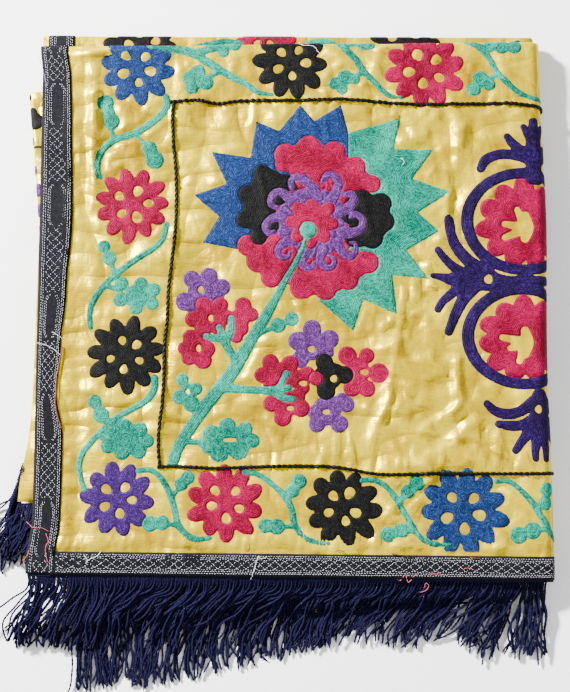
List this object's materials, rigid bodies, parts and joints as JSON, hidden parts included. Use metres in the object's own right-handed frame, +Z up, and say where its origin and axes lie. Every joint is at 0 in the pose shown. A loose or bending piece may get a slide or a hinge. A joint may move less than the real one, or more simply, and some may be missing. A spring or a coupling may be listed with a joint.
{
  "type": "folded suzani embroidered textile",
  "caption": "Large rectangular embroidered satin cloth with woven edge tapes and a yarn fringe, folded into a flat pile of eight plies.",
  "frame": {"origin": "middle of the footprint, on the surface the pile lies on", "axes": "+Z up from the surface, +Y from the fringed front hem to the top fold, +X from the taped end to the thick side fold"},
  "size_m": [0.6012, 0.726, 0.0261],
  "materials": {
    "satin": "satin weave with silk embroidery",
    "tape": "woven cotton tape with white stitches",
    "yarn": "soft twisted yarn"
  },
  "bodies": {
    "root": {"cloth": "satin", "end_tape_top": "tape", "end_tape_inner": "tape", "hem_tape_front": "tape", "hem_tape_back": "tape", "fringe_front": "yarn", "fringe_back": "yarn"}
  },
  "joints": []
}
